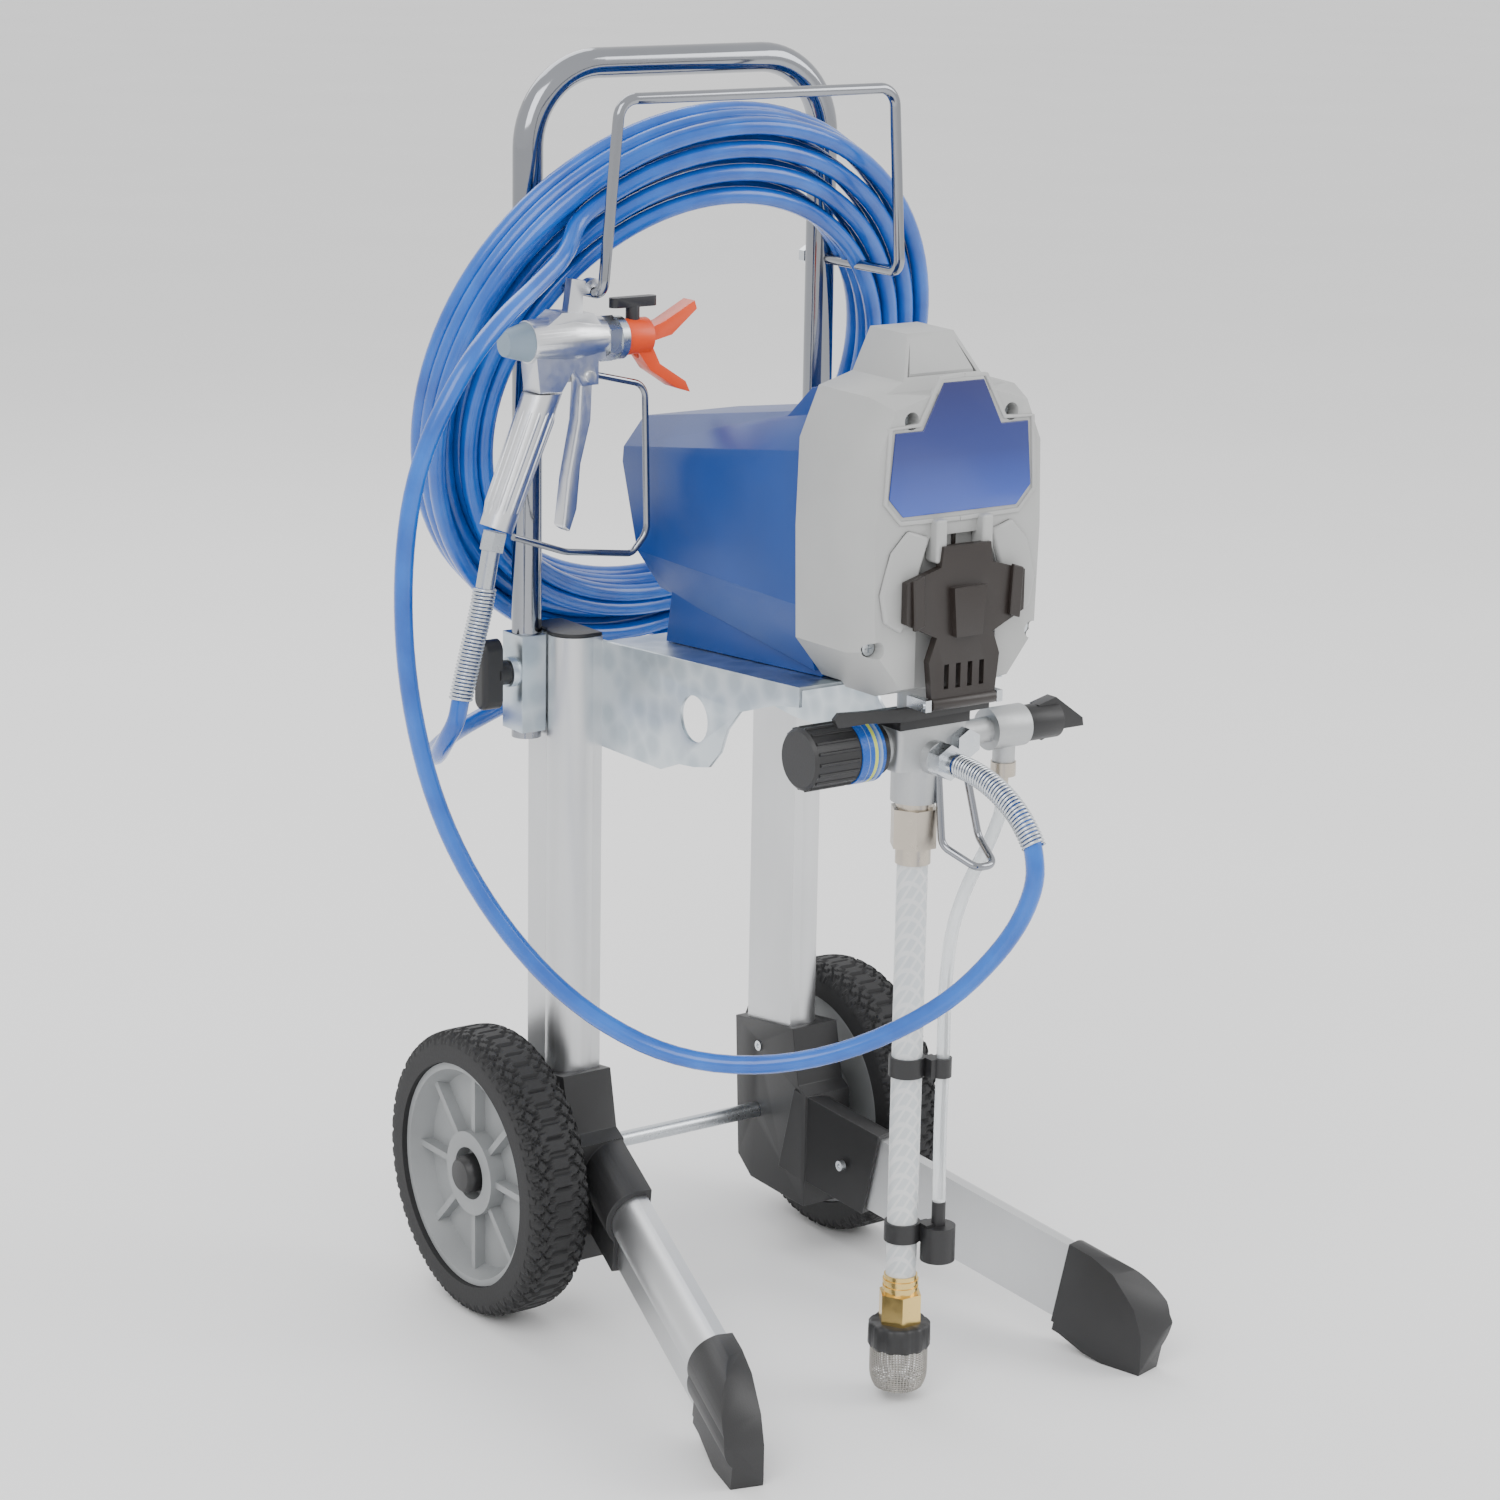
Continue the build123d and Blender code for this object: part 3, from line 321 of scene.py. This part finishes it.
def rings(path, radius_at, sides):
    """Rings of vertices that follow a path with a frame carried along without twist."""
    verts = []
    tangent = (path[1] - path[0]).normalized()
    up = tangent.orthogonal().normalized()
    count = len(path)
    for i, point in enumerate(path):
        ahead = path[min(i + 1, count - 1)] - path[max(i - 1, 0)]
        tangent = ahead.normalized()
        up = (up - tangent * up.dot(tangent)).normalized()
        across = tangent.cross(up)
        for k in range(sides):
            angle = 2 * math.pi * k / sides
            verts.append(point + (up * math.cos(angle) + across * math.sin(angle)) * radius_at(i))
    return verts


def skin(count, sides, closed=False):
    faces = []
    for i in range(count if closed else count - 1):
        j = (i + 1) % count
        for k in range(sides):
            n = (k + 1) % sides
            faces.append((i * sides + k, i * sides + n, j * sides + n, j * sides + k))
    if not closed:
        faces.append(tuple(reversed(range(sides))))
        faces.append(tuple((count - 1) * sides + k for k in range(sides)))
    return faces


def tube(name, path, radius, body, slot, node=None, sides=14):
    verts = rings(path, lambda i: radius, sides)
    return mesh_object(name, verts, skin(len(path), sides), body, slot, node)


def softened(node, width=0.0025, segments=3):
    """A CAD shape again, with its moulded edges rounded off."""
    source = frame["nodes"][node]
    mesh = source.data.copy()
    obj = bpy.data.objects.new(node + "_shell", mesh)
    bpy.context.scene.collection.objects.link(obj)
    work = bmesh.new()
    work.from_mesh(mesh)
    bmesh.ops.remove_doubles(work, verts=work.verts, dist=1e-5)
    bmesh.ops.dissolve_limit(work, angle_limit=math.radians(2), verts=work.verts, edges=work.edges)
    work.to_mesh(mesh)
    work.free()
    bevel = obj.modifiers.new("edges", "BEVEL")
    bevel.width = width
    bevel.segments = segments
    bevel.limit_method = "ANGLE"
    bevel.angle_limit = math.radians(24)
    bevel.harden_normals = True
    mesh.shade_smooth()
    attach(obj, source["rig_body"])
    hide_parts(node)
    return obj


def spline_points(name, points):
    """The line of an open NURBS curve through control points, as a list of points."""
    data = bpy.data.curves.new(name, "CURVE")
    data.dimensions = "3D"
    data.resolution_u = 6
    spline = data.splines.new("NURBS")
    spline.points.add(len(points) - 1)
    for point, place in zip(spline.points, points):
        point.co = (*place, 1)
    spline.order_u = 3
    spline.use_endpoint_u = True
    guide = bpy.data.objects.new(name, data)
    bpy.context.scene.collection.objects.link(guide)
    bpy.context.view_layer.update()
    line = bpy.data.meshes.new_from_object(guide)
    result = [v.co.copy() for v in line.vertices]
    bpy.data.meshes.remove(line)
    bpy.data.objects.remove(guide)
    return result


SPRING_OUTER = 0.0085
SPRING_WIRE = 0.0011
SPRING_PITCH = 0.0026
STEPS_PER_WIND = 14


def wound_spring(name, line, body, node):
    """A close-wound spring round a line, as one helical wire."""
    lengths = [0.0]
    for a, b in zip(line, line[1:]):
        lengths.append(lengths[-1] + (b - a).length)
    steps = int(lengths[-1] / SPRING_PITCH * STEPS_PER_WIND)
    path = []
    up = (line[1] - line[0]).orthogonal().normalized()
    for i in range(steps + 1):
        s = lengths[-1] * i / steps
        k = max(j for j in range(len(lengths) - 1) if lengths[j] <= s + 1e-12)
        tangent = (line[k + 1] - line[k]).normalized()
        up = (up - tangent * up.dot(tangent)).normalized()
        across = tangent.cross(up)
        place = line[k] + tangent * (s - lengths[k])
        angle = 2 * math.pi * s / SPRING_PITCH
        outward = up * math.cos(angle) + across * math.sin(angle)
        path.append(place + outward * (SPRING_OUTER - SPRING_WIRE))
    return tube(name, path, SPRING_WIRE, body, "zinc", node, 8)


# ---------------------------------------------------------------- hose
PUMP_SPRING = [(0, -348, 480), (1, -366, 479), (3, -392, 470), (5, -414, 455), (6, -424, 440)]
LOOP = [
    (6, -428, 412), (-6, -414, 370), (-38, -380, 318), (-97, -322, 276), (-160, -262, 269),
    (-212, -212, 300), (-254, -172, 356), (-286, -142, 430), (-302, -126, 515), (-304, -120, 600),
    (-296, -126, 676), (-268, -136, 738), (-228, -122, 770), (-184, -102, 790), (-148, -84, 808),
]
TAIL = [
    (10, 72, 473), (-34, 68, 468), (-80, 63, 460), (-126, 54, 449), (-168, 38, 442),
    (-206, 6, 440), (-228, -36, 446), (-238, -66, 466), (-238, -82, 484), (-236, -84, 500),
]
GUN_SPRING = [(-228, -84, 532), (-219, -84, 562), (-216, -84, 578)]
# where each turn lies in the bundle: outward from its middle, and towards the front
CELLS = [
    (5, 13), (-8, 13), (-21, 13), (-21, 0), (-21, -13), (-8, -13),
    (-8, 0), (5, 0), (5, -13), (18, -13), (18, 0), (18, 13),
]
COIL_START = -40.0
COIL_TURNS = 11
COIL_END = COIL_TURNS * 360 + 174
POINTS_PER_TURN = 16
# a turn changes its place in the bundle over its last part, ending at this angle before the top
CHANGE_END = 150
KEPT_PART = 0.72
# at the top, where the coil hangs on the rack, the turns lie further apart
FAN_AT_TOP = 0.42
SINK_AT_TOP = 1.5


def coil_point(angle, outward, forward):
    """A place on the tilted coil; the angle is clockwise from its top, seen from the front."""
    radius = COIL_R + outward
    sideways, upward = radius * math.sin(angle), radius * math.cos(angle)
    x = COIL_CENTRE[0] + sideways
    y = COIL_CENTRE[1] - upward * math.sin(COIL_TILT) - forward * math.cos(COIL_TILT)
    z = COIL_CENTRE[2] + upward * math.cos(COIL_TILT) - forward * math.sin(COIL_TILT)
    return (x, y, z)


def coil_points():
    points = []
    step = 360 / POINTS_PER_TURN
    count = int((COIL_END - COIL_START) / step)
    for i in range(count + 1):
        degrees = COIL_START + step * i
        turned = (degrees + CHANGE_END) / 360
        cell = min(int(turned), len(CELLS) - 2)
        shift = min(max((turned - cell - KEPT_PART) / (1 - KEPT_PART), 0), 1)
        shift = shift * shift * (3 - 2 * shift)
        a, b = CELLS[cell], CELLS[cell + 1]
        outward = a[0] + (b[0] - a[0]) * shift
        forward = a[1] + (b[1] - a[1]) * shift
        angle = math.radians(degrees)
        near_top = max(0.0, math.cos(angle))
        outward = outward * (1 + FAN_AT_TOP * near_top) - SINK_AT_TOP * near_top
        points.append(coil_point(angle, outward, forward))
    return points


route = PUMP_SPRING + LOOP + coil_points() + TAIL + GUN_SPRING
hose_line = spline_points("hose_route", [at(*p) for p in route])
hose = tube("paint_hose", hose_line, HOSE_R, None, "hose", ["hose_coil", "hose_loop", "hose_tail"], 14)
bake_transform(hose)

pump_line = spline_points("pump_spring_route", [at(*p) for p in PUMP_SPRING])
pump_spring = wound_spring("pump_spring_wound", pump_line, "root", ["pump_spring"])
gun_line = spline_points("gun_spring_route", [at(-236, -84, 500)] + [at(*p) for p in GUN_SPRING])
gun_spring = wound_spring("gun_spring_wound", gun_line, "handle", ["gun_spring"])


# ---------------------------------------------------------------- tyres
WHEEL_X = 162.5
AXLE_HEIGHT = 110
TYRE_HALF_WIDTH = 0.025
TYRE_BEAD_R = 0.0855
TYRE_WALL = 0.0235
TREAD_FROM_R = 0.0995
TREAD_DEPTH = 0.0022
LUGS = 54
LUG_SLANT = 2.4


def tyre_mesh(name, side):
    """A rounded tyre whose tread is rows of slanted lugs with grooves between them."""
    around, lanes = 360, 44
    centre = at(side * WHEEL_X, 0, AXLE_HEIGHT)
    verts, faces = [], []
    for i in range(around):
        angle = 2 * math.pi * i / around
        for j in range(lanes):
            t = j / (lanes - 1) * math.pi
            x = -TYRE_HALF_WIDTH * math.copysign(abs(math.cos(t)) ** 0.45, math.cos(t))
            radius = TYRE_BEAD_R + TYRE_WALL * math.sin(t) ** 0.36
            if radius > TREAD_FROM_R:
                u = x / TYRE_HALF_WIDTH
                a = (i / around * LUGS + u * LUG_SLANT) % 1.0
                b = (i / around * LUGS - u * LUG_SLANT) % 1.0
                groove = min(abs(a - 0.5), abs(b - 0.5)) < 0.085
                edge = abs(u) > 0.72 and (i / around * LUGS) % 1.0 < 0.26
                if groove or edge:
                    radius -= TREAD_DEPTH
            y = centre.y + radius * math.sin(angle)
            z = centre.z + radius * math.cos(angle)
            verts.append((centre.x + x, y, z))
    for i in range(around):
        n = (i + 1) % around
        for j in range(lanes - 1):
            faces.append((i * lanes + j, i * lanes + j + 1, n * lanes + j + 1, n * lanes + j))
        faces.append((i * lanes + lanes - 1, i * lanes, n * lanes, n * lanes + lanes - 1))
    mesh_object(f"tyre_tread_{name}", verts, faces, f"wheel_{name}", "tyre", [f"tyre_{name}"], smooth=False)


for side_name, sign in (("left", -1), ("right", 1)):
    tyre_mesh(side_name, sign)


# ---------------------------------------------------------------- strainer
def strainer_mesh():
    """A woven wire cup: upright wires crossed by hoops, under a solid ring."""
    centre = at(0, PUMP_Y, 0)
    verts, faces = [], []

    def add(path, radius, sides=5, closed=False):
        base = len(verts)
        verts.extend(rings(path, lambda i: radius, sides))
        faces.extend([tuple(base + k for k in f) for f in skin(len(path), sides, closed)])

    def wall(z):
        low = min(1.0, max(0.0, (z - 0.009) / 0.012))
        return 0.0205 - 0.0035 * (1 - low) ** 2

    for k in range(56):
        angle = 2 * math.pi * k / 56
        heights = [0.0405 - 0.0315 * s / 9 for s in range(10)]
        add([Vector((centre.x + wall(z) * math.cos(angle), centre.y + wall(z) * math.sin(angle), z))
             for z in heights], 0.0004)
    for level in range(18):
        z = 0.0095 + 0.0018 * level
        add([Vector((centre.x + wall(z) * math.cos(a), centre.y + wall(z) * math.sin(a), z))
             for a in [2 * math.pi * s / 56 for s in range(56)]], 0.0004, 5, True)
    for ring_radius in (0.016, 0.012, 0.008, 0.004):
        add([Vector((centre.x + ring_radius * math.cos(a), centre.y + ring_radius * math.sin(a), 0.0088))
             for a in [2 * math.pi * s / 40 for s in range(40)]], 0.0004, 5, True)
    for k in range(12):
        angle = math.pi * k / 12
        reach = Vector((math.cos(angle), math.sin(angle), 0)) * 0.017
        middle = Vector((centre.x, centre.y, 0.0088))
        add([middle - reach, middle, middle + reach], 0.0004)
    mesh_object("strainer_mesh", verts, faces, "root", "strainer", ["inlet_strainer"])


strainer_mesh()


def turned(name, profile, centre, body, slot, sides, ribs, rib_depth):
    """A shape turned about an upright axis; ribs cut shallow flutes in it."""
    verts, faces = [], []
    for radius, z in profile:
        for k in range(sides):
            angle = 2 * math.pi * k / sides
            flute = rib_depth if (k * ribs // sides) % 2 else 0.0
            r = radius - flute
            verts.append((centre.x + r * math.cos(angle), centre.y + r * math.sin(angle), z))
    for i in range(len(profile) - 1):
        for k in range(sides):
            n = (k + 1) % sides
            faces.append((i * sides + k, i * sides + n, (i + 1) * sides + n, (i + 1) * sides + k))
    return mesh_object(name, verts, faces, body, slot)


RING_PROFILE = [
    (0.006, 0.058), (0.0205, 0.058), (0.0225, 0.056), (0.0228, 0.042), (0.0215, 0.0395),
    (0.0195, 0.0395), (0.0195, 0.054), (0.006, 0.054), (0.006, 0.058),
]
turned("strainer_ring", RING_PROFILE, at(0, PUMP_Y, 0), "root", "black_plastic", 96, 24, 0.0009)

# ---------------------------------------------------------------- moulded and cast pieces
for node_name, edge_width in {
    "front_cover": 0.0045, "motor_housing": 0.004, "pump_door": 0.0014, "badge": 0.0006,
    "corner_bracket_left": 0.0035, "corner_bracket_right": 0.0035, "foot_cap_left": 0.006,
    "foot_cap_right": 0.006, "gun_body": 0.0022, "gun_trigger": 0.0018, "tip_guard": 0.0016,
    "manifold": 0.002, "motor_bracket": 0.0006, "pump_shroud": 0.001, "prime_knob": 0.0014,
    "spray_tip": 0.001, "end_caps": 0.001,
}.items():
    softened(node_name, edge_width)


def moulding(name, outline, back, face, body, slot, edge=0.0012):
    """A raised moulding: an outline in X and Z carried forward in Y, with rounded edges."""
    count = len(outline)
    verts = [at(x, back, z) for x, z in outline] + [at(x, face, z) for x, z in outline]
    faces = [tuple(range(count)), tuple(reversed(range(count, 2 * count)))]
    for i in range(count):
        n = (i + 1) % count
        faces.append((i, i + count, n + count, n))
    obj = mesh_object(name, verts, faces, body, slot)
    bevel = obj.modifiers.new("edges", "BEVEL")
    bevel.width = edge
    bevel.segments = 3
    bevel.limit_method = "ANGLE"
    bevel.harden_normals = True
    return obj


def band_outline(points, width):
    """An outline that follows an open line of points at half a width on both sides."""
    left, right = [], []
    for i, (x, z) in enumerate(points):
        ax, az = points[max(i - 1, 0)]
        bx, bz = points[min(i + 1, len(points) - 1)]
        length = math.hypot(bx - ax, bz - az)
        nx, nz = -(bz - az) / length * width / 2, (bx - ax) / length * width / 2
        left.append((x + nx, z + nz))
        right.append((x - nx, z - nz))
    return left + right[::-1]


# the front face of the cover and of the pump door, and what is moulded on them
FACE_Y = -340
DOOR_Y = -350
SLOT_Y = -334
border = band_outline([(0, 650), (-50, 651), (-63, 665), (-60, 715), (-36, 716), (-19, 746), (0, 747)], 3.2)
lobe = [(-26, 640), (-44, 646), (-58, 632), (-66, 604), (-62, 584), (-48, 576), (-36, 590), (-34, 616)]
rail = [(-24, 652), (-15, 652), (-15, 622), (-24, 622)]
clip = [(-47, 614), (-38, 617), (-36, 582), (-45, 579)]
slot_outline = [(-1.6, 642), (1.6, 642), (1.6, 630), (-1.6, 630)]
for side_name, sign in (("left", 1), ("right", -1)):
    for label, outline, back, face, body, slot, edge in (
        ("badge_border", border, FACE_Y + 2, FACE_Y - 1.6, "root", "grey_plastic", 0.0008),
        ("cover_lobe", lobe, FACE_Y + 2, FACE_Y - 3.2, "root", "grey_plastic", 0.003),
        ("door_rail", rail, FACE_Y + 6, FACE_Y - 8, "root", "grey_plastic", 0.0022),
        ("door_clip", clip, DOOR_Y, DOOR_Y - 3.5, "door", "door_plastic", 0.001),
    ):
        mirrored = [(sign * x, z) for x, z in outline]
        moulding(f"{label}_{side_name}", mirrored, back, face, body, slot, edge)
moulding("latch_slot", slot_outline, SLOT_Y, SLOT_Y - 1.2, "root", "door_plastic", 0.0004)

GRIP_R = 0.0128
GRIP_TAPER = 0.0013
FLUTE_R = 0.0014
FLUTES = 14
FLUTE_STEPS = 8


def grip_flutes():
    """Raised ribs along the gun's handle."""
    top, bottom = at(-171, -84, 706), at(-206, -84, 624)
    axis = (bottom - top).normalized()
    up = axis.orthogonal().normalized()
    across = axis.cross(up)
    verts, faces = [], []
    for k in range(FLUTES):
        angle = 2 * math.pi * k / FLUTES
        outward = up * math.cos(angle) + across * math.sin(angle)
        line = []
        for step in range(FLUTE_STEPS + 1):
            t = step / FLUTE_STEPS
            sunk = 0.0022 if step in (0, FLUTE_STEPS) else 0.0
            line.append(top + (bottom - top) * t + outward * (GRIP_R - GRIP_TAPER * t - sunk))
        base = len(verts)
        verts.extend(rings(line, lambda i: FLUTE_R, 8))
        faces.extend([tuple(base + n for n in f) for f in skin(len(line), 8)])
    mesh_object("grip_flutes", verts, faces, "handle", "gun_metal")


grip_flutes()


# ---------------------------------------------------------------- light, floor and camera
def studio():
    floor_mesh = bpy.data.meshes.new("studio_floor")
    reach, depth = 30.0, 60.0
    floor_mesh.from_pydata([(-reach, -reach, 0), (reach, -reach, 0), (reach, depth, 0), (-reach, depth, 0)],
                           [], [(0, 1, 2, 3)])
    floor = bpy.data.objects.new("studio_floor", floor_mesh)
    bpy.context.scene.collection.objects.link(floor)
    pale = Nodes("studio_floor", (0.93, 0.93, 0.93), 0.7)
    pale.tint(pale.noise(2, 2), (0.92, 0.92, 0.92), (0.94, 0.94, 0.94))
    floor_mesh.materials.append(pale.material)
    world = bpy.data.worlds.new("studio_world")
    world.use_nodes = True
    world.node_tree.nodes["Background"].inputs["Color"].default_value = (1, 1, 1, 1)
    world.node_tree.nodes["Background"].inputs["Strength"].default_value = 1.15
    bpy.context.scene.world = world
    lamps = [((-2.2, -1.6, 2.6), 2.2, 55), ((2.4, -1.8, 2.2), 1.8, 38), ((0.3, 2.4, 2.8), 2.4, 40)]
    for i, (place, size, power) in enumerate(lamps):
        light = bpy.data.lights.new(f"softbox_{i}", "AREA")
        light.size = size
        light.energy = power
        lamp = bpy.data.objects.new(f"softbox_{i}", light)
        lamp.location = place
        lamp.rotation_euler = (Vector((0, 0, 0.45)) - Vector(place)).to_track_quat("-Z", "Y").to_euler()
        bpy.context.scene.collection.objects.link(lamp)


def camera():
    azimuth, elevation, roll = math.radians(-35.26), math.radians(14.52), math.radians(1.01)
    target = at(72.0, 0.0, 404.1)
    distance = 2.9425
    back = Vector((math.sin(azimuth) * math.cos(elevation), -math.cos(azimuth) * math.cos(elevation),
                   math.sin(elevation)))
    right = Vector((math.cos(azimuth), math.sin(azimuth), 0))
    up = back.cross(right)
    level_right, level_up = right.copy(), up.copy()
    right = level_right * math.cos(roll) + level_up * math.sin(roll)
    up = level_up * math.cos(roll) - level_right * math.sin(roll)
    data = bpy.data.cameras.new("camera")
    data.lens = 92.03
    data.sensor_width = 36
    data.clip_end = 100
    eye = bpy.data.objects.new("camera", data)
    bpy.context.scene.collection.objects.link(eye)
    turn = Matrix((right, up, back)).transposed().to_4x4()
    eye.matrix_world = Matrix.Translation(target + back * distance) @ turn
    bpy.context.scene.camera = eye


studio()
camera()
